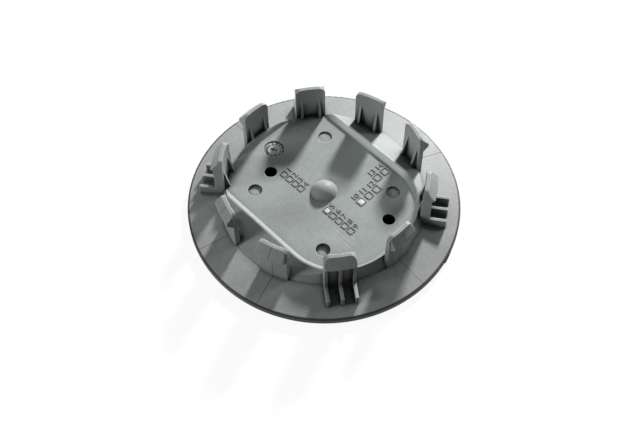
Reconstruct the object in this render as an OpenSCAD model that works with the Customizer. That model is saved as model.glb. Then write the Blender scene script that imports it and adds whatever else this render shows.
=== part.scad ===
// Centre cap for a road wheel, moulded in one piece.
// It lies on its front rim with the clips up: +Z points to the clip side, the origin is on the
// axis in the plane of the front rim, and +Y runs along the tray to its end with the date insert.

/* [Flange] */
// Outside diameter of the flange
flange_d = 76; // [72:0.5:82]
// Thickness of the flange, measured along the axis
flange_t = 2.2; // [1.8:0.1:2.8]
// Slope of the flange, which rises towards the middle, in degrees
flange_slope = 8.7; // [5:0.1:11]
// Radius of the front edge of the flange
front_edge_r = 0.7; // [0.3:0.1:1]
// Radius of the back edge of the flange
back_edge_r = 0.35; // [0.2:0.05:0.6]

/* [Middle] */
// Diameter of the root circle, where the wall meets the flange
root_d = 56.4; // [54:0.2:57]
// Slant of the wall at the ends of the tray, in degrees from the axis
wall_slant = 24; // [5:1:30]
// Height of the tray floor above the front rim
floor_z = 6.2; // [5.6:0.1:7]
// Thickness of the tray floor
floor_t = 2; // [1.5:0.1:2.4]
// Width of the tray floor
tray_w = 37.4; // [34:0.2:39]
// Length of the tray floor
tray_l = 48.8; // [44:0.2:50]
// Corner radius of the tray floor at the end with the date insert
date_corner_r = 8; // [6:0.5:12]
// Corner radius of the tray floor at the other end
plain_corner_r = 15; // [10:0.5:16]
// Height of the ridge round the tray, above its floor
ridge_h = 1.2; // [0.8:0.1:1.6]
// Radius of the rolled top of the ridge
ridge_r = 0.9; // [0.6:0.05:1]
// Distance from the edge of the floor to the middle of the ridge
ridge_out = 1.9; // [1.4:0.1:2.2]
// Slope of the ridge on its inner side, in degrees
ridge_inner_slope = 50; // [30:1:60]
// Slope of the ridge on its outer side, in degrees
ridge_outer_slope = 27; // [25:1:60]
// Radius of the hollow fillet at the foot of the ridge
foot_fillet_r = 1.2; // [0.8:0.1:3]
// Diameter of the round dish in the front, at its bottom
dish_d = 50; // [46:0.5:52]
// Width of the dish in the front between its two flats, at its bottom
dish_w = 43; // [36:0.5:45]
// Slope of the dish wall, in degrees from the axis
dish_slant = 45; // [30:1:55]

/* [Clips] */
// Number of clips round the ring
clip_count = 10; // [10]
// Diameter over the tips of the clips
tip_d = 56.8; // [55:0.2:58]
// Width of a clip
clip_w = 8.4; // [6:0.1:9.5]
// Thickness of a clip at its tip
tip_t = 1; // [0.8:0.05:1.2]
// Thickness of a clip at its root
root_t = 1.3; // [1.1:0.05:1.6]
// Height of the clip tips above the front rim
tip_z = 17.3; // [16:0.1:20]
// Corner radius of a clip, seen from outside
tip_corner_r = 1.7; // [1:0.1:2.5]

/* [Rounded barb] */
// Diameter over the rounded barbs
bump_d = 60.7; // [59.6:0.1:61.2]
// Radius of the nose of a rounded barb
bump_r = 1.2; // [0.8:0.1:1.6]
// Distance from the tip down to the middle of the nose
bump_drop = 2.9; // [2.5:0.1:3.4]
// Slope of the return face under the nose, in degrees from the axis
bump_return = 42; // [30:1:50]
// Distance that the nose stands in from the two sides of the clip
bump_inset = 0.25; // [0.2:0.05:0.8]

/* [Hooked barb] */
// Diameter over the hooks
hook_d = 61.4; // [60.4:0.1:62]
// Distance from the tip down to the edge of the hook
hook_drop = 2.7; // [2.2:0.1:3.4]
// Undercut of the catch face, in degrees
hook_undercut = 40; // [0:1:50]
// Thickness of the outer ribs
rib_t = 0.85; // [0.6:0.05:1.1]
// Distance that the outer ribs stand out from the clip
rib_out = 1; // [0.6:0.05:1.2]
// Diameter over the ends of the foot ribs
foot_d = 68.6; // [66:0.2:71]
// Height of the foot ribs above the front rim
foot_z = 5.9; // [5.4:0.1:7]

/* [Inner fins] */
// Distance between the middles of the two fins of a clip
fin_pitch = 5.1; // [4:0.1:5.6]
// Thickness of a fin
fin_t = 0.6; // [0.5:0.05:0.9]
// Height of the top of the fins above the front rim
fin_top_z = 13.3; // [11:0.1:14.5]
// Depth of a fin at the level of the flange, measured from the clip
fin_depth = 2.1; // [1.4:0.1:2.4]

/* [Floor marks] */
// Diameter of the guide bump in the middle
guide_d = 7.4; // [6:0.1:9]
// Height of the guide bump above the floor
guide_h = 2.6; // [1.5:0.1:3]
// Number of ejector marks
ejector_count = 4; // [4]
// Diameter of the ejector marks
ejector_d = 4; // [3:0.1:5]
// Diameter of the circle on which the ejector marks lie
ejector_circle_d = 38; // [34:0.5:40]
// Depth of the shallowest ejector mark
ejector_depth = 0.4; // [0.2:0.05:0.6]
// Step in depth from one ejector mark to the next, towards the deepest one
ejector_depth_step = 0.25; // [0:0.05:0.3]
// Diameter of the two holes for the pins of a badge
pin_hole_d = 3.6; // [3:0.1:4.2]
// Distance between the two pin holes across the tray
pin_across = 12.2; // [10:0.1:14]
// Distance between the two pin holes along the tray
pin_along = 34; // [30:0.1:36]
// Offset of the pair of pin holes along the tray
pin_offset = -1.9; // [-3:0.1:0]
// Diameter of the round date insert
date_d = 5.8; // [5:0.1:6.5]
// Distance of the date insert from the middle
date_y = 20.4; // [19:0.1:21]
// Depth of the recess of the date insert
date_depth = 0.3; // [0.2:0.05:0.5]

/* [Hidden] */
$fn = 96;
// Overlap by which joined solids reach into each other, and by which cuts reach out
lap = 0.4;
flange_r = flange_d / 2;
root_r = root_d / 2;
tip_r = tip_d / 2;
clip_in_r = tip_r - tip_t;
clip_out_r = clip_in_r + root_t;
ridge_z = floor_z + ridge_h;
dish_z = floor_z - floor_t;
slope_k = tan(flange_slope);
step = 360 / clip_count;

// Height of the back face of the flange at a distance from the axis
function back_z(r) = flange_t + (flange_r - r) * slope_k;
// Height of the front face at a distance from the axis
function front_z(r) = (flange_r - r) * slope_k;

// Depth by which solids that stand on the flange reach into it
sink = flange_t / 3;
// Height at which the tray and the clips start, inside the wall of the flange
seat_z = back_z(tip_r) - sink;

// Distance from the axis at which the front slope turns flat, level with the bottom of the dish
front_flat_r = max(lap, flange_r - dish_z / slope_k);
// Distance from the axis at which the back slope turns flat, level with the tray floor
back_flat_r = max(lap, flange_r - (floor_z - flange_t) / slope_k);

// Section of the disc: two parallel slopes, flat in the middle, and a rounded rim
module disc_section() {
    polygon([
        [0, front_z(front_flat_r)], [front_flat_r, front_z(front_flat_r)],
        [flange_r - front_edge_r, front_z(flange_r - front_edge_r)],
        [flange_r - front_edge_r, 0], [flange_r, front_edge_r],
        [flange_r, flange_t - back_edge_r], [flange_r - back_edge_r, flange_t],
        [back_flat_r, back_z(back_flat_r)], [0, back_z(back_flat_r)]
    ]);
    translate([flange_r - front_edge_r, front_edge_r]) circle(r = front_edge_r);
    translate([flange_r - back_edge_r, flange_t - back_edge_r]) circle(r = back_edge_r);
}

module disc() {
    rotate_extrude() disc_section();
}

// Corner radius at one end of the tray: end 1 has the date insert, end -1 is the other one
function corner_r(end) = end > 0 ? date_corner_r : plain_corner_r;
// Length of the straight sides of the tray from the middle to one end
function straight_y(end) = tray_l / 2 - corner_r(end);

// Floor of the tray as an outline, grown by a distance
module tray_outline(grow = 0) {
    for (end = [-1, 1]) rotate(90 - 90 * end) {
        r = corner_r(end) + grow;
        half_x = tray_w / 2 - corner_r(end);
        translate([-half_x - r, -lap]) square([2 * (half_x + r), straight_y(end) + lap]);
        translate([-half_x, -lap]) square([2 * half_x, straight_y(end) + r + lap]);
        for (sx = [-1, 1]) translate([sx * half_x, straight_y(end)]) circle(r = r);
    }
}

// Carries a section round the tray: its x is the distance outwards from the edge of the floor
module round_tray() {
    for (end = [-1, 1]) rotate(90 - 90 * end) {
        half_x = tray_w / 2 - corner_r(end);
        translate([tray_w / 2, straight_y(end), 0]) rotate([90, 0, 0])
            linear_extrude(straight_y(1) + straight_y(-1)) children();
        rotate(90) translate([tray_l / 2, half_x, 0]) rotate([90, 0, 0])
            linear_extrude(2 * half_x) children();
        translate([half_x, straight_y(end), 0]) rotate_extrude(angle = 90)
            translate([corner_r(end), 0]) children();
        translate([-half_x, straight_y(end), 0]) rotate(90) rotate_extrude(angle = 90)
            translate([corner_r(end), 0]) children();
    }
}

// Points along an arc round mid, from a0 to a1, which are angles from straight up, clockwise
function arc(mid, r, a0, a1, n) =
    [for (i = [0 : n]) mid + r * [sin(a0 + (a1 - a0) * i / n), cos(a0 + (a1 - a0) * i / n)]];

// Section of the ridge: a rolled top, a short inner slope and a long outer slope with a hollow foot
ridge_mid = [ridge_out, ridge_z - ridge_r];
roll = arc(ridge_mid, ridge_r, -ridge_inner_slope, ridge_outer_slope, 8);
inner_foot_x = roll[0][0] - (roll[0][1] - floor_z) / tan(ridge_inner_slope);
// Height of the flange at the foot, beside the long sides of the tray
side_z = back_z(root_r - lap);
fillet_z = side_z + foot_fillet_r;
roll_end = roll[len(roll) - 1];
slope_end_z = fillet_z - foot_fillet_r * cos(ridge_outer_slope);
slope_end_x = roll_end[0] + (roll_end[1] - slope_end_z) / tan(ridge_outer_slope);
fillet_mid = [slope_end_x + foot_fillet_r * sin(ridge_outer_slope), fillet_z];

module ridge_section() {
    polygon(concat(
        [[inner_foot_x - lap, seat_z], [inner_foot_x - lap, floor_z], [inner_foot_x, floor_z]],
        roll,
        arc(fillet_mid, foot_fillet_r, ridge_outer_slope - 180, -180, 6),
        [[fillet_mid[0], seat_z]]
    ));
}

// Cone that bounds the tray at its two ends and at its corners
module wall_limit() {
    limit_z = ridge_z + lap;
    limit_r = root_r - (limit_z - back_z(root_r)) * tan(wall_slant);
    rotate_extrude() polygon([
        [0, 0], [root_r, 0], [root_r, back_z(root_r)], [limit_r, limit_z], [0, limit_z]
    ]);
}

module tray() {
    intersection() {
        union() {
            translate([0, 0, seat_z]) linear_extrude(floor_z - seat_z) tray_outline(lap);
            round_tray() ridge_section();
        }
        wall_limit();
    }
}

// Hollow in the front face: a round dish with two flats along the tray
module front_dish() {
    fall = dish_z + lap;
    spread = fall * tan(dish_slant);
    intersection() {
        rotate_extrude() polygon([
            [0, -lap], [dish_d / 2 + spread, -lap], [dish_d / 2, dish_z], [0, dish_z]
        ]);
        rotate([90, 0, 0]) linear_extrude(flange_d, center = true) polygon([
            [-dish_w / 2 - spread, -lap], [dish_w / 2 + spread, -lap],
            [dish_w / 2, dish_z], [-dish_w / 2, dish_z]
        ]);
    }
}

// Clip seen from outside: parallel sides and rounded top corners, with a side inset
module clip_outline(inset = 0) {
    w = clip_w - 2 * inset;
    translate([-w / 2, seat_z]) square([w, tip_z - tip_corner_r - seat_z]);
    translate([-w / 2 + tip_corner_r, seat_z]) square([w - 2 * tip_corner_r, tip_z - seat_z]);
    for (s = [-1, 1])
        translate([s * (w / 2 - tip_corner_r), tip_z - tip_corner_r]) circle(r = tip_corner_r, $fn = 48);
}

// Cuts a revolved section down to the outline of one clip, which points along +X
module clip_cut(inset = 0) {
    intersection() {
        rotate([0, 0, -step / 2]) rotate_extrude(angle = step) children();
        rotate([90, 0, 90]) linear_extrude(flange_r) clip_outline(inset);
    }
}

// Section of the spring leg that every clip has
module leg_section() {
    polygon([
        [clip_in_r, seat_z], [clip_in_r, tip_z], [tip_r, tip_z],
        [clip_out_r, tip_z - bump_drop], [clip_out_r, seat_z]
    ]);
}

// Section of the rounded barb: a straight ramp, a nose that it touches, and a straight return face
bump_mid = [bump_d / 2 - bump_r, tip_z - bump_drop];
bump_tip = [tip_r, tip_z - lap];
to_mid = bump_mid - bump_tip;
ramp_l = sqrt(to_mid * to_mid - bump_r * bump_r);
ramp_a = atan2(to_mid[1], to_mid[0]) + atan2(bump_r, ramp_l);
nose = arc(bump_mid, bump_r, -ramp_a, 90 + bump_return, 10);
nose_end = nose[len(nose) - 1];
return_foot = [clip_out_r - lap, nose_end[1] - (nose_end[0] - clip_out_r + lap) / tan(bump_return)];

module bump_section() {
    polygon(concat([[clip_in_r + lap, bump_tip[1]], bump_tip], nose, [return_foot]));
}

// Section of the hook: a straight ramp and an undercut catch face
hook_edge = [hook_d / 2, tip_z - hook_drop];
catch_foot = [clip_out_r - lap, hook_edge[1] - (hook_edge[0] - clip_out_r + lap) * tan(hook_undercut)];

module hook_section() {
    polygon([[tip_r - lap, tip_z], [tip_r, tip_z], hook_edge, catch_foot]);
}

// Side view of one outer rib: down the leg, then out over the flange as a foot
module rib_section() {
    rib_r = clip_out_r + rib_out;
    polygon([
        [clip_in_r + lap, seat_z], [clip_in_r + lap, tip_z - hook_drop],
        [rib_r, tip_z - hook_drop], [rib_r, foot_z], [foot_d / 2, foot_z],
        [foot_d / 2, back_z(foot_d / 2) - sink]
    ]);
}

// Side view of one inner fin
module fin_section() {
    polygon([
        [clip_in_r + tip_t / 2, seat_z], [clip_in_r + tip_t / 2, fin_top_z], [clip_in_r, fin_top_z],
        [clip_in_r - fin_depth, back_z(clip_in_r)], [clip_in_r - fin_depth, seat_z]
    ]);
}

// Stands a side view up in the radial plane, at an offset along the ring
module radial_plate(thickness, offset) {
    translate([0, offset, 0]) rotate([90, 0, 0]) linear_extrude(thickness, center = true) children();
}

module fins() {
    for (s = [-1, 1]) radial_plate(fin_t, s * fin_pitch / 2) fin_section();
}

module bump_clip() {
    clip_cut() leg_section();
    clip_cut(bump_inset) bump_section();
    fins();
}

module hook_clip() {
    clip_cut() leg_section();
    clip_cut() hook_section();
    for (s = [-1, 0, 1]) radial_plate(rib_t, s * (clip_w - rib_t) / 2) rib_section();
    fins();
}

// The clips in the diagonals have hooks, the others rounded barbs
module clips() {
    for (i = [0 : clip_count - 1])
        rotate(90 + i * step)
            if (i % 5 == 1 || i % 5 == 4) hook_clip();
            else bump_clip();
}

// Low ball-shaped bump in the middle of the floor
module guide_bump() {
    ball_r = (pow(guide_d / 2, 2) + pow(guide_h, 2)) / (2 * guide_h);
    intersection() {
        translate([0, 0, floor_z + guide_h - ball_r]) sphere(r = ball_r);
        translate([0, 0, floor_z - lap]) cylinder(d = 2 * ball_r + lap, h = guide_h + 2 * lap);
    }
}

module ejector_marks() {
    for (i = [0 : ejector_count - 1]) {
        depth = ejector_depth + min(i, ejector_count - i) * ejector_depth_step;
        rotate((i + 0.5) * 360 / ejector_count) translate([ejector_circle_d / 2, 0, floor_z - depth])
            cylinder(d = ejector_d, h = depth + lap, $fn = 48);
    }
}

module pin_holes() {
    for (s = [-1, 1])
        translate([s * pin_across / 2, pin_offset - s * pin_along / 2, 0])
            cylinder(d = pin_hole_d, h = ridge_z, $fn = 48);
}

module date_recess() {
    translate([0, date_y, floor_z - date_depth]) cylinder(d = date_d, h = date_depth + lap, $fn = 48);
}

module centre_cap() {
    color([0.55, 0.57, 0.57])
    difference() {
        union() {
            disc();
            tray();
            clips();
            guide_bump();
        }
        front_dish();
        ejector_marks();
        pin_holes();
        date_recess();
    }
}

centre_cap();
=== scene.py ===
import math

import bmesh
import bpy
import numpy as np
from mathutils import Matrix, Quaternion, Vector


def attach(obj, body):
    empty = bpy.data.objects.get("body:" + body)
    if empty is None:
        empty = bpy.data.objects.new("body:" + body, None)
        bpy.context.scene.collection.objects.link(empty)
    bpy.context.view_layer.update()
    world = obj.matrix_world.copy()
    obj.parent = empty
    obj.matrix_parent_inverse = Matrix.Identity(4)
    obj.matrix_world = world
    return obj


mm = 0.001  # everything below is given in millimetres and built in metres

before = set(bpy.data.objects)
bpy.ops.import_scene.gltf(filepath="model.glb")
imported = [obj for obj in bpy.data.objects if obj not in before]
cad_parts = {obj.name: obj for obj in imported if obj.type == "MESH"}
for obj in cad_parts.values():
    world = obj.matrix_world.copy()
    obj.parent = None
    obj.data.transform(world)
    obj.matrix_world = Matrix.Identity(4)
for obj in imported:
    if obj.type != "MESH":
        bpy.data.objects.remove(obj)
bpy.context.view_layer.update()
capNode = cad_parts["centre_cap"]
print("frame loaded:", len(capNode.data.polygons), "faces")


# Camera and light

camera = {
    "azimuth": -134.3,  # direction in which the camera stands, in degrees from +X
    "elevation": 55.2,
    "distance": 275.27,  # from the middle of the cap
    "middle": (0, 0, 2.2),
    "aim": (-4.107, -2.634, 2.2),  # the point in the centre of the picture
    "roll": -0.17,
    "lens": 55.49,
    "sensor": 36,
    "clip": (0.01, 20),  # in metres
}


def direction(azimuth, elevation):  # unit vector: azimuth from +X, elevation above the floor
    a, e = math.radians(azimuth), math.radians(elevation)
    return Vector((math.cos(a) * math.cos(e), math.sin(a) * math.cos(e), math.sin(e)))


def makeCamera(given):
    data = bpy.data.cameras.new("camera")
    data.lens, data.sensor_width = given["lens"], given["sensor"]
    data.clip_start, data.clip_end = given["clip"]
    eye = bpy.data.objects.new("camera", data)
    bpy.context.scene.collection.objects.link(eye)
    towards = direction(given["azimuth"], given["elevation"])
    place = Vector(given["middle"]) + given["distance"] * towards
    eye.location = place * mm
    eye.rotation_mode = "QUATERNION"
    look = (Vector(given["aim"]) - place).to_track_quat("-Z", "Y")
    eye.rotation_quaternion = look @ Quaternion((0, 0, 1), math.radians(given["roll"]))
    bpy.context.scene.camera = eye


lamps = {
    "key": {
        "azimuth": 21.5, "elevation": 26, "distance": 900, "size": 115,
        "power": 12.9, "colour": (1, 0.99, 0.98),
    },
    "leftFill": {
        "azimuth": 152, "elevation": 23, "distance": 900, "size": 300,
        "power": 3.35, "colour": (0.96, 1, 1),
    },
    "rightFill": {
        "azimuth": -18, "elevation": 40, "distance": 900, "size": 300,
        "power": 1.45, "colour": (0.97, 1, 1),
    },
}


def makeLamp(name, given):  # a round lamp that faces the middle of the floor
    data = bpy.data.lights.new(name, "AREA")
    data.shape, data.size = "DISK", given["size"] * mm
    data.energy, data.color = given["power"], given["colour"]
    lamp = bpy.data.objects.new(name, data)
    bpy.context.scene.collection.objects.link(lamp)
    towards = direction(given["azimuth"], given["elevation"])
    lamp.location = towards * given["distance"] * mm
    lamp.rotation_mode = "QUATERNION"
    lamp.rotation_quaternion = towards.to_track_quat("Z", "Y")


# Small helpers for materials

def addNode(tree, kind, **settings):  # a node with some of its properties set
    made = tree.nodes.new(kind)
    for name, value in settings.items():
        setattr(made, name, value)
    return made


def feed(tree, socket, value):  # a link, or a plain value
    if isinstance(value, bpy.types.NodeSocket):
        tree.links.new(value, socket)
    else:
        socket.default_value = value


def calc(tree, operation, *values):  # one Math node
    made = addNode(tree, "ShaderNodeMath", operation=operation)
    for socket, value in zip(made.inputs, values):
        feed(tree, socket, value)
    return made.outputs[0]


def ramp(tree, value, low, high, outLow=0.0, outHigh=1.0):  # smooth step from low to high
    made = addNode(tree, "ShaderNodeMapRange", interpolation_type="SMOOTHSTEP")
    for socket, given in zip(made.inputs, (value, low, high, outLow, outHigh)):
        feed(tree, socket, given)
    return made.outputs[0]


def rising(tree, length, limits):  # 0 below the first limit, 1 above the second
    return ramp(tree, length, limits[0] * mm, limits[1] * mm)


def falling(tree, length, limits):  # 1 below the first limit, 0 above the second
    return ramp(tree, length, limits[0] * mm, limits[1] * mm, 1.0, 0.0)


def between(tree, length, limits, soft):  # 1 between the limits, 0 outside, with soft ends
    low, high = limits
    return calc(tree, "MULTIPLY", rising(tree, length, (low - soft, low)), falling(tree, length, (high, high + soft)))


def noise(tree, vector, scale, detail=3.0, rough=0.55):  # its scale is per metre
    made = addNode(tree, "ShaderNodeTexNoise")
    feed(tree, made.inputs["Vector"], vector)
    made.inputs["Scale"].default_value = scale
    made.inputs["Detail"].default_value = detail
    made.inputs["Roughness"].default_value = rough
    return made.outputs[0]


def mottled(tree, vector, given):  # noise, brought to the values that are given
    return ramp(tree, noise(tree, vector, *given["noise"]), *given["range"], *given["values"])


def apart(tree, vector):  # the x, y and z of a vector, and its distance from the axis
    made = addNode(tree, "ShaderNodeSeparateXYZ")
    feed(tree, made.inputs[0], vector)
    x, y, z = made.outputs
    squares = calc(tree, "ADD", calc(tree, "MULTIPLY", x, x), calc(tree, "MULTIPLY", y, y))
    return x, y, z, calc(tree, "SQRT", squares)


def blendColour(tree, factor, one, two, mode="MIX"):
    made = addNode(tree, "ShaderNodeMix", data_type="RGBA", blend_type=mode)
    feed(tree, made.inputs[0], factor)
    feed(tree, made.inputs[6], one)
    feed(tree, made.inputs[7], two)
    return made.outputs[2]


def blendValue(tree, factor, one, two):
    made = addNode(tree, "ShaderNodeMix", data_type="FLOAT")
    feed(tree, made.inputs[0], factor)
    feed(tree, made.inputs[2], one)
    feed(tree, made.inputs[3], two)
    return made.outputs[0]


def shadedColour(tree, colour, value):  # a colour whose brightness is multiplied
    made = addNode(tree, "ShaderNodeHueSaturation")
    feed(tree, made.inputs["Value"], value)
    feed(tree, made.inputs["Color"], colour)
    return made.outputs[0]


def bump(tree, height, given, normal=None):
    made = addNode(tree, "ShaderNodeBump")
    made.inputs["Strength"].default_value = given["strength"]
    made.inputs["Distance"].default_value = given["depth"] * mm
    feed(tree, made.inputs["Height"], height)
    if normal is not None:
        feed(tree, made.inputs["Normal"], normal)
    return made.outputs[0]


# The moulded plastic of the cap

plastic = {
    "light": (0.375, 0.391, 0.386, 1),
    "dark": (0.345, 0.36, 0.356, 1),
    "roughness": (0.4, 0.12),  # least value, and what the clouds add
    "specular": 0.21,
    "ior": 1.5,
    "clouds": {"noise": (60, 4.0, 0.6), "range": (0.35, 0.65)},
    "speckle": {"noise": (900, 3.0, 0.7), "range": (0.3, 0.75), "values": (0.94, 1.05)},
    "fineSpeckle": {"noise": (3200, 2.0, 0.7), "range": (0.3, 0.7), "values": (0.9, 1.08)},
    "relief": (
        {"noise": (1 / (0.11 * mm), 2.0, 0.6), "depth": 0.012, "strength": 0.8},  # the mould's eroded finish
        {"noise": (2600, 2.0, 0.7), "depth": 0.05, "strength": 0.8},
        {"noise": (160, 2.0, 0.55), "depth": 0.05, "strength": 0.5},
    ),
    "flange": {"radius": 38.0, "slope": 0.153},
}

trayFloor = {"z": (5.7, 7.4), "soft": 0.5, "colour": (0.96, 1.0, 1.0, 1)}  # a little cooler than the flange

parting = {
    "colour": (0.08, 0.085, 0.085, 1),
    "amount": 0.8,
    "width": 0.17,
    "first": 18,  # angle of the first line, and the step to the next
    "step": 72,
    "root": 28.2,
    "outside": (28.25, 28.35),
    "overFront": (1.0, 1.3),
    "ringBelow": (2.35, 2.5),
    "ringAmount": 0.8,
    "depth": 0.06,
    "strength": 1.0,
}

brushed = {  # where the mould was dressed by hand
    "x": (-9.0, -5.5),
    "y": (-16.5, -12.0),
    "soft": 2.6,
    "z": (5.6, 6.0),
    "stretch": (2600, 70, 1),
    "strokes": {"noise": (1, 2.0, 0.6), "range": (0.45, 0.7), "values": (0, 1)},
    "colour": (0.62, 0.65, 0.64, 1),
    "amount": 0.5,
    "depth": 0.02,
    "strength": 0.8,
}

# Painted light: a paler colour on the inner side of the ridge along +X, whose slope in the solid lies in its own
# shade
ridgePaintedLight = {  # inner side of the ridge along +X
    "x": (19.05, 20.5),
    "y": (-10, 17),
    "soft": (0.35, 4),
    "z": (6.35, 7.4),
    "foot": 0.65,  # how much of it shows at the foot
    "colour": (0.82, 0.86, 0.85, 1),
}

# Painted shade: the colour is made darker in hollows, apart from the foot of the ridge
hollows = {  # hollows are darker, apart from the foot of the ridge
    "reach": (8.0, 1.5),
    "samples": 8,
    "range": (0.12, 0.85),
    "dark": 0.2,
    "spared": {"z": (6.35, 7.7), "soft": 0.12, "radius": (25.2, 25.8), "amount": 0.75},
}

edges = {  # sharp edges are a little round, and a paler colour on them is a painted highlight
    "roundness": 0.22,
    "samples": 6,
    "colour": (0.9, 0.92, 0.91, 1),
    "amount": 0.9,
    "alike": (0.88, 0.992),  # how alike the rounded and the true normal are, on an edge and off it
    "open": (0.45, 0.8),
}

# Painted shade: inside the pin holes below the floor the colour is near black
pinHoleShade = {
    "places": ((-6.1, 15.1), (6.1, -18.9)),
    "radius": (1.95, 2.05),
    "z": (5.7, 6.05),
    "colour": (0.004, 0.004, 0.004, 1),
}

# Dark paint on the front face, which also covers the outer face of the rim; on the rim the dark colour is painted
# shade as well as paint
frontPaintAndRimShade = {
    "rim": (37.3, 37.6),
    "overFront": (0.12, 0.22),
    "colour": (0.042, 0.044, 0.045, 1),
    "roughness": 0.4,
}


# Height over the plane of the flange's front side, which rises from the rim to the middle
def heightOverFront(tree, z, radius, flange):
    inwards = calc(tree, "SUBTRACT", flange["radius"] * mm, radius)
    return calc(tree, "SUBTRACT", z, calc(tree, "MULTIPLY", inwards, flange["slope"]))


# Lines where the slides of the mould met, 1 on a line and 0 elsewhere. A point is on a line if its
# distance from one of six radial planes is small and it lies outside the root circle, or if it lies
# on the root circle.
def partingLines(tree, place, given, flange):
    x, y, z, radius = apart(tree, place)
    half = given["width"] / 2
    height = heightOverFront(tree, z, radius, flange)
    onBack = rising(tree, height, given["overFront"])
    angle = calc(tree, "ARCTAN2", calc(tree, "ABSOLUTE", y), x)
    fromFirst = calc(tree, "SUBTRACT", angle, math.radians(given["first"]))
    step = math.radians(given["step"])
    folded = calc(tree, "WRAP", fromFirst, step / 2, -step / 2)
    away = calc(tree, "ABSOLUTE", calc(tree, "MULTIPLY", radius, calc(tree, "SINE", folded)))
    radial = falling(tree, away, (half * 0.5, half * 1.3))
    radial = calc(tree, "MULTIPLY", radial, rising(tree, radius, given["outside"]))
    ringAway = calc(tree, "ABSOLUTE", calc(tree, "SUBTRACT", radius, given["root"] * mm))
    ring = falling(tree, ringAway, (half * 0.5, half * 1.4))
    ring = calc(tree, "MULTIPLY", ring, falling(tree, height, given["ringBelow"]))
    ring = calc(tree, "MULTIPLY", ring, given["ringAmount"])
    return calc(tree, "MULTIPLY", calc(tree, "MAXIMUM", radial, ring), onBack)


# Fine strokes along Y in one patch of the tray floor, between 0 and 1: noise that is stretched
# along Y, times a box with soft sides.
def brushedPatch(tree, place, given):
    x, y, z, radius = apart(tree, place)
    inside = calc(tree, "MULTIPLY", between(tree, x, given["x"], given["soft"]),
                  between(tree, y, given["y"], given["soft"]))
    inside = calc(tree, "MULTIPLY", inside, rising(tree, z, given["z"]))
    stretched = addNode(tree, "ShaderNodeMapping")
    feed(tree, stretched.inputs["Vector"], place)
    stretched.inputs["Scale"].default_value = given["stretch"]
    return calc(tree, "MULTIPLY", mottled(tree, stretched.outputs[0], given["strokes"]), inside)


# 1 on the inner side of the ridge along +X, 0 elsewhere. It is made paler, because in the photo it
# looks paler than its slope in the solid would make it.
# The paler colour there is painted light.
def paleRidge(tree, place, given):
    x, y, z, radius = apart(tree, place)
    softX, softY = given["soft"]
    side = calc(tree, "MULTIPLY", between(tree, x, given["x"], softX), between(tree, y, given["y"], softY))
    low, high = given["z"]
    return calc(tree, "MULTIPLY", side, ramp(tree, z, low * mm, high * mm, given["foot"], 1.0))


# Painted shade in hollows: how open a place is to its surroundings, from dark in a deep hollow to 1 on an open face,
# is the product of the occlusion over a wide and over a near distance, and it darkens the colour. Second comes the
# near one alone.
def openness(tree, place, given):
    factors = []
    for reach in given["reach"]:
        made = addNode(tree, "ShaderNodeAmbientOcclusion", samples=given["samples"], only_local=True)
        made.inputs["Distance"].default_value = reach * mm
        factors.append(made.outputs["AO"])
    shade = ramp(tree, calc(tree, "MULTIPLY", *factors), *given["range"], given["dark"], 1.0)
    x, y, z, radius = apart(tree, place)
    spared = given["spared"]
    ridge = calc(tree, "MULTIPLY", between(tree, z, spared["z"], spared["soft"]),
                 falling(tree, radius, spared["radius"]))
    return blendValue(tree, calc(tree, "MULTIPLY", ridge, spared["amount"]), shade, 1.0), factors[1]


# 1 on sharp outward edges: where the rounded normal leaves the true one, and the place is open. There a paler colour
#                           is laid on as a painted highlight.
def sharpEdges(tree, rounded, near, given):
    made = addNode(tree, "ShaderNodeVectorMath", operation="DOT_PRODUCT")
    feed(tree, made.inputs[0], rounded)
    feed(tree, made.inputs[1], addNode(tree, "ShaderNodeNewGeometry").outputs["True Normal"])
    leaving = ramp(tree, made.outputs["Value"], *given["alike"], 1.0, 0.0)
    return calc(tree, "MULTIPLY", leaving, ramp(tree, near, *given["open"]))


# 1 inside the pin holes below the floor, 0 elsewhere: there the colour is near black, as painted shade
def inPinHoles(tree, place, given):
    x, y, z, radius = apart(tree, place)
    found = 0.0
    for holeX, holeY in given["places"]:
        across = calc(tree, "SUBTRACT", x, holeX * mm)
        along = calc(tree, "SUBTRACT", y, holeY * mm)
        squares = calc(tree, "MULTIPLY_ADD", across, across, calc(tree, "MULTIPLY", along, along))
        near = falling(tree, calc(tree, "SQRT", squares), given["radius"])
        found = calc(tree, "MAXIMUM", found, near)
    return calc(tree, "MULTIPLY", found, falling(tree, z, given["z"]))


# 1 where the dark colour of the front shows: on the front itself, where it is paint, and on the outer face of the
# rim, where it is paint and painted shade
def onFront(tree, place, given, flange):
    x, y, z, radius = apart(tree, place)
    below = falling(tree, heightOverFront(tree, z, radius, flange), given["overFront"])
    return calc(tree, "MAXIMUM", rising(tree, radius, given["rim"]), below)
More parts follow.
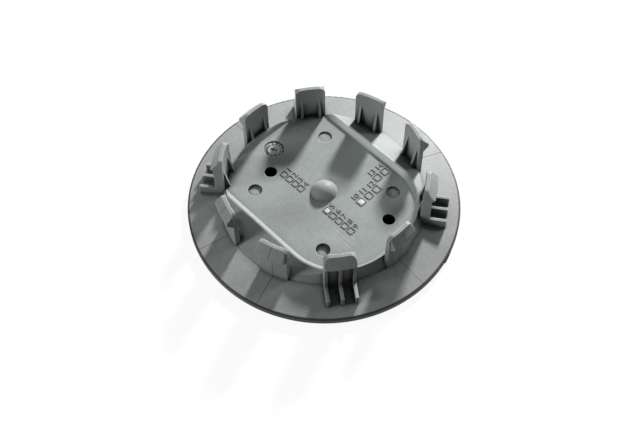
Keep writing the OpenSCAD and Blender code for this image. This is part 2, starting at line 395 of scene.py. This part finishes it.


# The plastic in a tone of its own; its copies in other tones are painted light and shade. A marked one has the marks
# of the mould, painted light on the ridge, painted shade in the pin holes and the paint of the front, which on the
# rim is painted shade too. Every one has painted shade in hollows and a painted highlight on sharp edges.
def makePlastic(name, given, tone=1.0, marked=True):
    made = bpy.data.materials.new(name)
    made.use_nodes = True
    tree = made.node_tree
    shader = tree.nodes["Principled BSDF"]
    place = addNode(tree, "ShaderNodeTexCoord").outputs["Object"]

    cloudy = noise(tree, place, *given["clouds"]["noise"])
    light, dark = ([part * tone for part in given[shade][:3]] + [1] for shade in ("light", "dark"))
    colour = blendColour(tree, ramp(tree, cloudy, *given["clouds"]["range"]), dark, light)
    speckles = (mottled(tree, place, given[kind]) for kind in ("speckle", "fineSpeckle"))
    colour = shadedColour(tree, colour, calc(tree, "MULTIPLY", *speckles))
    onFloor = between(tree, apart(tree, place)[2], trayFloor["z"], trayFloor["soft"])
    colour = blendColour(tree, onFloor, colour, trayFloor["colour"], "MULTIPLY")

    rounded = addNode(tree, "ShaderNodeBevel", samples=edges["samples"])
    rounded.inputs["Radius"].default_value = edges["roundness"] * mm
    normal = rounded.outputs[0]
    for layer in given["relief"]:
        normal = bump(tree, noise(tree, place, *layer["noise"]), layer, normal)

    if marked:
        lines = partingLines(tree, place, parting, given["flange"])
        colour = blendColour(tree, calc(tree, "MULTIPLY", lines, parting["amount"]), colour, parting["colour"])
        normal = bump(tree, calc(tree, "SUBTRACT", 1.0, lines), parting, normal)
        strokes = brushedPatch(tree, place, brushed)
        colour = blendColour(tree, calc(tree, "MULTIPLY", strokes, brushed["amount"]), colour, brushed["colour"])
        normal = bump(tree, strokes, brushed, normal)
        # painted light on the inner side of the ridge along +X
        colour = blendColour(tree, paleRidge(tree, place, ridgePaintedLight), colour, ridgePaintedLight["colour"])

    hollowShade, near = openness(tree, place, hollows)
    # painted highlight: a paler colour on open sharp edges
    paintedEdgeHighlight = calc(tree, "MULTIPLY", sharpEdges(tree, rounded.outputs[0], near, edges), edges["amount"])
    colour = blendColour(tree, calc(tree, "MULTIPLY", paintedEdgeHighlight, tone), colour, edges["colour"])
    # painted shade in hollows
    colour = shadedColour(tree, colour, hollowShade)
    least, added = given["roughness"]
    uneven = calc(tree, "MULTIPLY_ADD", cloudy, added, least)

    if marked:
        # painted shade: the pin holes near black
        colour = blendColour(tree, inPinHoles(tree, place, pinHoleShade), colour, pinHoleShade["colour"])
        # the front's paint, which on the outer face of the rim is painted shade too
        painted = onFront(tree, place, frontPaintAndRimShade, given["flange"])
        colour = blendColour(tree, painted, colour, frontPaintAndRimShade["colour"])
        uneven = blendValue(tree, painted, uneven, frontPaintAndRimShade["roughness"])

    feed(tree, shader.inputs["Base Color"], colour)
    feed(tree, shader.inputs["Roughness"], uneven)
    feed(tree, shader.inputs["Normal"], normal)
    shader.inputs["Specular IOR Level"].default_value = given["specular"]
    shader.inputs["IOR"].default_value = given["ior"]
    return made


capPlastic = makePlastic("mouldedPlastic", plastic)
capNode.data.materials.clear()
capNode.data.materials.append(capPlastic)
print("moulded plastic on the cap")


# Small helpers for meshes

def gridFaces(rows, columns, wrapRows, wrapColumns):  # quads between the neighbours of a grid of points
    i = np.arange(rows if wrapRows else rows - 1)
    j = np.arange(columns if wrapColumns else columns - 1)
    a, b = (part.ravel() for part in np.meshgrid(i, j, indexing="ij"))
    c, d = (a + 1) % rows, (b + 1) % columns
    return np.stack([a * columns + b, c * columns + b, c * columns + d, a * columns + d], 1)


def repeated(shapes):  # several (points, faces) put together as one
    starts = np.cumsum([0] + [len(points) for points, faces in shapes[:-1]])
    allFaces = [face for start, (points, faces) in zip(starts, shapes) for face in (faces + start).tolist()]
    return np.concatenate([points for points, faces in shapes]), allFaces


def makePiece(name, points, faces, material, flatOver=35):  # a closed piece that rides on the cap
    mesh = bpy.data.meshes.new(name)
    mesh.from_pydata((np.asarray(points) * mm).tolist(), [], faces if isinstance(faces, list) else faces.tolist())
    work = bmesh.new()
    work.from_mesh(mesh)
    bmesh.ops.remove_doubles(work, verts=work.verts, dist=0.0005 * mm)
    bmesh.ops.recalc_face_normals(work, faces=work.faces)
    work.to_mesh(mesh)
    work.free()
    mesh.polygons.foreach_set("use_smooth", np.ones(len(mesh.polygons), bool))
    mesh.set_sharp_from_angle(angle=math.radians(flatOver))
    mesh.materials.append(material)
    piece = bpy.data.objects.new(name, mesh)
    bpy.context.scene.collection.objects.link(piece)
    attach(piece, "root")


# A profile (distance from the axis, height) turned about an upright axis. Its two ends lie on the axis.
def turned(profile, centre, count=64):
    profile = np.asarray(profile, float)
    angle = np.linspace(0, 2 * np.pi, count, endpoint=False)[:, None]
    points = np.stack([centre[0] + profile[:, 0] * np.cos(angle), centre[1] + profile[:, 0] * np.sin(angle),
                       np.broadcast_to(profile[:, 1], (count, len(profile)))], -1)
    return points.reshape(-1, 3), gridFaces(count, len(profile), True, False)


def turnedFlat(points, turn):  # flat points turned about the origin by an angle in degrees
    a = math.radians(turn)
    return np.asarray(points) @ np.array([[math.cos(a), math.sin(a)], [-math.sin(a), math.cos(a)]])


# Small raised frames on the tray floor, in four rows

# Copies of the plastic in other tones stand in for light and shade: the first two are darker copies, painted shade,
# and the third a paler copy, painted light
shadedMarkPlastic = makePlastic("shadedMarkPlastic", plastic, tone=0.45, marked=False)
darkShadedPlastic = makePlastic("darkShadedPlastic", plastic, tone=0.16, marked=False)
litPalePlastic = makePlastic("litPalePlastic", plastic, tone=1.3, marked=False)

markFrames = {
    "floor": 6.2,
    "line": 0.26,  # width of the raised line
    "height": 0.2,
    "sunk": 0.1,
    "corner": 0.15,
    "cornerSteps": 5,
    "rows": (
        {"first": (-3.9, 11.8), "step": (0, -2.24), "count": 4, "side": 1.95},
        {"first": (-3.9, -5.3), "step": (0, -2.27), "count": 5, "side": 1.95},
        {"first": (4.8, -9.7), "step": (3.05, 0), "count": 3, "side": 2.2},
        {"first": (13.95, -7.05), "step": (3.0, 0), "count": 2, "side": 2.2},
    ),
}


def framePlaces(given):  # middle and side of each frame
    for row in given["rows"]:
        for i in range(row["count"]):
            yield row["first"][0] + i * row["step"][0], row["first"][1] + i * row["step"][1], row["side"]


# One frame: a low rounded line carried round a square with small round corners. A point is the centre
# of its corner plus (corner radius + offset) times the direction of its angle.
def frameShape(x, y, side, given):
    half = given["line"] / 2
    across = half * np.array([-1, -0.9, -0.55, 0.55, 0.9, 1])
    up = np.array([-given["sunk"], 0.7 * given["height"], given["height"],
                   given["height"], 0.7 * given["height"], -given["sunk"]])
    steps = given["cornerSteps"]
    corner = np.repeat(np.arange(4), steps)
    angle = np.radians(corner * 90 + np.tile(np.linspace(0, 90, steps), 4))
    reach = side / 2 - half - given["corner"]
    diagonal = np.radians(corner * 90 + 45)
    middle = reach * np.sign(np.stack([np.cos(diagonal), np.sin(diagonal)], 1))
    out = np.stack([np.cos(angle), np.sin(angle)], 1)
    flat = middle[:, None] + out[:, None] * (given["corner"] + across)[None, :, None] + (x, y)
    height = np.broadcast_to(given["floor"] + up, flat.shape[:2])
    points = np.concatenate([flat, height[..., None]], -1).reshape(-1, 3)
    return points, gridFaces(len(angle), len(across), True, True)


frameShapes = [frameShape(*place, markFrames) for place in framePlaces(markFrames)]
# the frames in a darker copy of the plastic, painted shade
makePiece("markFrames", *repeated(frameShapes), shadedMarkPlastic)
print("raised frames")


# Plain numbers beside the frames, in a darker copy of the moulding's plastic that is painted shade

frameNumbers = {"size": 2.5, "height": 0.17, "sunk": 0.1, "gap": 1.1, "floor": 6.2}


def numberShape(text, size):  # points and triangles of a number one millimetre thick, centred
    curve = bpy.data.curves.new("number", "FONT")
    curve.body, curve.size, curve.extrude, curve.resolution_u = text, size, 0.5, 3
    curve.align_x, curve.align_y = "CENTER", "CENTER"
    carrier = bpy.data.objects.new("number", curve)
    mesh = bpy.data.meshes.new_from_object(carrier)
    mesh.calc_loop_triangles()
    points = np.empty(len(mesh.vertices) * 3, np.float32)
    mesh.vertices.foreach_get("co", points)
    corners = np.empty(len(mesh.loop_triangles) * 3, np.int32)
    mesh.loop_triangles.foreach_get("vertices", corners)
    bpy.data.objects.remove(carrier)
    bpy.data.curves.remove(curve)
    bpy.data.meshes.remove(mesh)
    return points.reshape(-1, 3).astype(float), corners.reshape(-1, 3)


# Stands a number on a level: it is turned about Z and moved, and its thickness is stretched to reach
# from sunk below the level to height above it.
def placedNumber(number, x, y, turn, level, given):
    points, corners = numberShape(str(number), given["size"])
    up = level - given["sunk"] + (points[:, 2] + 0.5) * (given["height"] + given["sunk"])
    return np.column_stack([turnedFlat(points[:, :2], turn) + (x, y), up]), corners


def makeNumbers(given):  # on the left half to the right of a frame, on the right half above it
    shapes = []
    for i, (x, y, side) in enumerate(framePlaces(markFrames)):
        away = side / 2 + given["gap"]
        beside = (x + away, y) if x < 0 else (x, y + away)
        shapes.append(placedNumber(i + 1, *beside, 0, given["floor"], given))
    makePiece("frameNumbers", *repeated(shapes), shadedMarkPlastic, flatOver=20)


makeNumbers(frameNumbers)
print("numbers beside the frames")


# Dabs of cream paint in two of the frames

paintDabs = {
    "places": ((-3.9, -5.3, 1.5), (4.8, -9.7, 1.75)),
    "level": 6.2,
    "height": 0.12,
    "sunk": 0.08,
    "rings": 8,
    "around": 48,
    "corner": 7,  # power of the round-cornered square
    "edge": 6,  # power of the fall towards the edge
    "turnWaves": 1.3,  # how far the waves of the edge turn from one dab to the next
    "colour": (0.83, 0.825, 0.77, 1),
    "thin": 0.8,  # how bright it is where it is thin
    "patches": {"noise": (1500, 3.0, 0.55), "range": (0.4, 0.6)},
    "roughness": 0.4,
    "relief": {"depth": 0.03, "strength": 0.8},
}


def makePaint(name, given):
    made = bpy.data.materials.new(name)
    made.use_nodes = True
    tree = made.node_tree
    shader = tree.nodes["Principled BSDF"]
    place = addNode(tree, "ShaderNodeTexCoord").outputs["Object"]
    patchy = noise(tree, place, *given["patches"]["noise"])
    thin = [given["thin"] * part for part in given["colour"][:3]] + [1]
    colour = blendColour(tree, ramp(tree, patchy, *given["patches"]["range"]), thin, given["colour"])
    feed(tree, shader.inputs["Base Color"], colour)
    feed(tree, shader.inputs["Normal"], bump(tree, patchy, given["relief"]))
    shader.inputs["Roughness"].default_value = given["roughness"]
    return made


# A dab: rings from the middle outwards, each a square with round corners and a slightly wavy edge.
# Its height falls as one minus a power of the distance from the middle.
def dabShape(x, y, side, given, phase):
    rise = np.linspace(0, 1, given["rings"])
    ring = np.concatenate([rise, [1.0, 0.0]])
    angle = np.linspace(0, 2 * np.pi, given["around"], endpoint=False)[:, None]
    corner = given["corner"]
    square = (np.abs(np.cos(angle)) ** corner + np.abs(np.sin(angle)) ** corner) ** (-1 / corner)
    wavy = 1 + 0.03 * np.sin(3 * angle + phase) + 0.02 * np.sin(7 * angle + 2 * phase)
    reach = ring * square * wavy * side / 2
    up = np.concatenate([given["height"] * (1 - rise ** given["edge"]), np.full(2, -given["sunk"])])
    points = np.stack([x + reach * np.cos(angle), y + reach * np.sin(angle),
                       np.broadcast_to(given["level"] + up, reach.shape)], -1)
    return points.reshape(-1, 3), gridFaces(len(angle), len(ring), True, False)


dabShapes = [dabShape(*place, paintDabs, paintDabs["turnWaves"] * i) for i, place in enumerate(paintDabs["places"])]
makePiece("paintDabs", *repeated(dabShapes), makePaint("creamPaint", paintDabs), flatOver=50)
print("paint in two frames")


# Date insert: a round steel pin left its face in the plastic, with a ring of numbers and an arrow

dateInsert = {
    "middle": (0, 20.4),
    "level": 5.9,  # bottom of the recess in the moulding, from which the heights below are counted
    "profile": ((0, 0.07), (1.15, 0.07), (1.2, 0.01), (1.36, 0.01), (1.42, 0.05), (2.55, 0.05), (2.64, 0.0),
                (2.7, -0.02), (2.7, -0.1), (0, -0.1)),
    "numbers": {"radius": 2.0, "size": 1.05, "foot": 0.06, "height": 0.14, "sunk": 0.03, "count": 12},
    "gap": {"outer": 2.89, "inner": 2.6, "moved": (-0.2, 0.02), "low": -0.05, "high": 0.06, "around": 64},
    "arrow": {
        "turn": 25,
        "outline": ((-0.16, -1.0), (0.16, -1.0), (0.16, 0.1), (0.55, 0.1), (0, 1.08), (-0.55, 0.1), (-0.16, 0.1)),
        "low": 0.05,
        "high": 0.18,
    },
}


def prismShape(x, y, level, given):  # an upright prism over a closed outline, turned about Z
    flat = turnedFlat(given["outline"], given["turn"]) + (x, y)
    count = len(flat)
    points = np.concatenate([np.column_stack([flat, np.full(count, level + given[end])]) for end in ("low", "high")])
    i = np.arange(count)
    sides = np.stack([i, (i + 1) % count, (i + 1) % count + count, i + count], 1)
    return points, sides.tolist() + [i[::-1].tolist(), (i + count).tolist()]


# A thin ring whose inner circle is moved sideways, so that it is widest on one side: what shows of the gap round the
# insert. It is a painted shadow, dark where the wall of the recess casts its shade.
def gapShape(x, y, level, given):
    angle = np.linspace(0, 2 * np.pi, given["around"], endpoint=False)[:, None]
    outer, inner = np.array([1, 1, 0, 0]), np.array([0, 0, 1, 1])
    reach = outer * given["outer"] + inner * given["inner"]
    movedX, movedY = given["moved"]
    up = level + np.array([given["low"], given["high"], given["high"], given["low"]])
    points = np.stack([x + inner * movedX + reach * np.cos(angle), y + inner * movedY + reach * np.sin(angle),
                       np.broadcast_to(up, (len(angle), 4))], -1)
    return points.reshape(-1, 3), gridFaces(len(angle), 4, True, True)


def makeDateInsert(given):
    x, y = given["middle"]
    level = given["level"]
    # The face is in a paler copy of the plastic, painted light; the gap, the numbers and the arrow are in a darker
    # copy, painted shade
    makePiece("dateFace", *turned(np.array(given["profile"]) + (0, level), given["middle"]), litPalePlastic)
    makePiece("dateGapShadow", *gapShape(x, y, level, given["gap"]), darkShadedPlastic)
    marks = given["numbers"]
    shapes = []
    for i in range(marks["count"]):
        turn = 360 * i / marks["count"]
        a = math.radians(90 - turn)
        at = (x + marks["radius"] * math.cos(a), y + marks["radius"] * math.sin(a))
        shapes.append(placedNumber(i + 1, *at, -turn, level + marks["foot"], marks))
    makePiece("dateNumbers", *repeated(shapes), darkShadedPlastic, flatOver=20)
    makePiece("dateArrow", *prismShape(x, y, level, given["arrow"]), darkShadedPlastic, flatOver=20)


makeDateInsert(dateInsert)
print("date insert")


# Stub of the gate on the rim, where the plastic was cut from its runner

gateStub = {
    "from": -68.5,
    "to": -75.6,
    "radius": 37.75,
    "out": 0.55,
    "start": 0.35,  # share of its reach with which it starts
    "low": 0.55,
    "high": 1.75,
    "steps": 16,
    "around": 12,
}


# The stub: its section is a flat half oval that stands out from the rim, carried along the rim, and its
# reach grows with the square root of the way.
def stubShape(given):
    steps, around = given["steps"], given["around"]
    along = np.linspace(0, 1, steps)[:, None]
    angle = np.radians(given["from"] + along * (given["to"] - given["from"]))
    section = np.linspace(0, 2 * np.pi, around, endpoint=False)
    grow = given["start"] + (1 - given["start"]) * np.sqrt(along)
    reach = given["radius"] + given["out"] * grow * np.cos(section)
    middle, half = (given["high"] + given["low"]) / 2, (given["high"] - given["low"]) / 2
    up = np.broadcast_to(middle + half * np.sin(section), reach.shape)
    points = np.stack([reach * np.cos(angle), reach * np.sin(angle), up], -1)
    first = list(range(around))[::-1]
    last = list(range((steps - 1) * around, steps * around))
    return points.reshape(-1, 3), gridFaces(steps, around, False, True).tolist() + [first, last]


makePiece("gateStub", *stubShape(gateStub), capPlastic, flatOver=30)
print("gate stub")


# Floor, backdrop and light

ground = {
    "size": 3000,
    "diffuse": (0.2, 0.2, 0.2, 1),
    "seenDiffuse": (0.13, 0.13, 0.13, 1),
    "seenGlow": 0.92,
    # painted shade: under the cap the floor is near black and has no glow
    "under": (36.2, 37.2),  # the floor under the cap is dark inside this distance from the axis
    "underShadeDiffuse": (0.02, 0.02, 0.02, 1),
}


def cameraRays(tree):  # 1 for the rays that show a background: camera, glossy and transmission rays
    path = addNode(tree, "ShaderNodeLightPath")
    seen = calc(tree, "MAXIMUM", path.outputs["Is Camera Ray"], path.outputs["Is Glossy Ray"])
    return calc(tree, "MAXIMUM", seen, path.outputs["Is Transmission Ray"])


def blendShader(tree, factor, one, two):
    made = addNode(tree, "ShaderNodeMixShader")
    feed(tree, made.inputs[0], factor)
    tree.links.new(one, made.inputs[1])
    tree.links.new(two, made.inputs[2])
    return made.outputs[0]


# The floor's surface: plain grey for the light, and for the rays that show it a white glow that keeps the object's
# shadow. Under the cap, for these rays it is near black with no glow, as painted shade. It isn't in the way of a view
# from below.
def makeFloorSurface(name, given):
    made = bpy.data.materials.new(name)
    made.use_nodes = True
    tree = made.node_tree
    tree.nodes.remove(tree.nodes["Principled BSDF"])
    radius = apart(tree, addNode(tree, "ShaderNodeTexCoord").outputs["Object"])[3]
    clear = rising(tree, radius, given["under"])
    plain = addNode(tree, "ShaderNodeBsdfDiffuse")
    plain.inputs["Color"].default_value = given["diffuse"]
    seen = addNode(tree, "ShaderNodeBsdfDiffuse")
    feed(tree, seen.inputs["Color"], blendColour(tree, clear, given["underShadeDiffuse"], given["seenDiffuse"]))
    glow = addNode(tree, "ShaderNodeEmission")
    feed(tree, glow.inputs["Strength"], calc(tree, "MULTIPLY", clear, given["seenGlow"]))
    both = addNode(tree, "ShaderNodeAddShader")
    tree.links.new(seen.outputs[0], both.inputs[0])
    tree.links.new(glow.outputs[0], both.inputs[1])
    above = blendShader(tree, cameraRays(tree), plain.outputs[0], both.outputs[0])
    fromBelow = addNode(tree, "ShaderNodeNewGeometry").outputs["Backfacing"]
    nothing = addNode(tree, "ShaderNodeBsdfTransparent").outputs[0]
    surface = blendShader(tree, fromBelow, above, nothing)
    tree.links.new(surface, tree.nodes["Material Output"].inputs["Surface"])
    return made


def makeGround(given):  # a flat square at height zero
    half = given["size"] * mm / 2
    corners = [(-half, -half, 0), (half, -half, 0), (half, half, 0), (-half, half, 0)]
    mesh = bpy.data.meshes.new("floor")
    mesh.from_pydata(corners, [], [(0, 1, 2, 3)])
    mesh.materials.append(makeFloorSurface("paleFloor", given))
    floor = bpy.data.objects.new("floor", mesh)
    bpy.context.scene.collection.objects.link(floor)


def makeSky(strength):  # plain light from all round, white where it is seen
    world = bpy.data.worlds.new("studio")
    bpy.context.scene.world = world
    world.use_nodes = True
    tree = world.node_tree
    back = tree.nodes["Background"]
    back.inputs["Color"].default_value = (1, 1, 1, 1)
    seen = cameraRays(tree)
    feed(tree, back.inputs["Strength"], calc(tree, "MULTIPLY_ADD", seen, 1 - strength, strength))


makeGround(ground)
makeSky(strength=0.022)
for lampName, lampGiven in lamps.items():
    makeLamp(lampName, lampGiven)
makeCamera(camera)
bpy.context.scene.view_settings.view_transform = "Standard"
print("floor, light and camera")
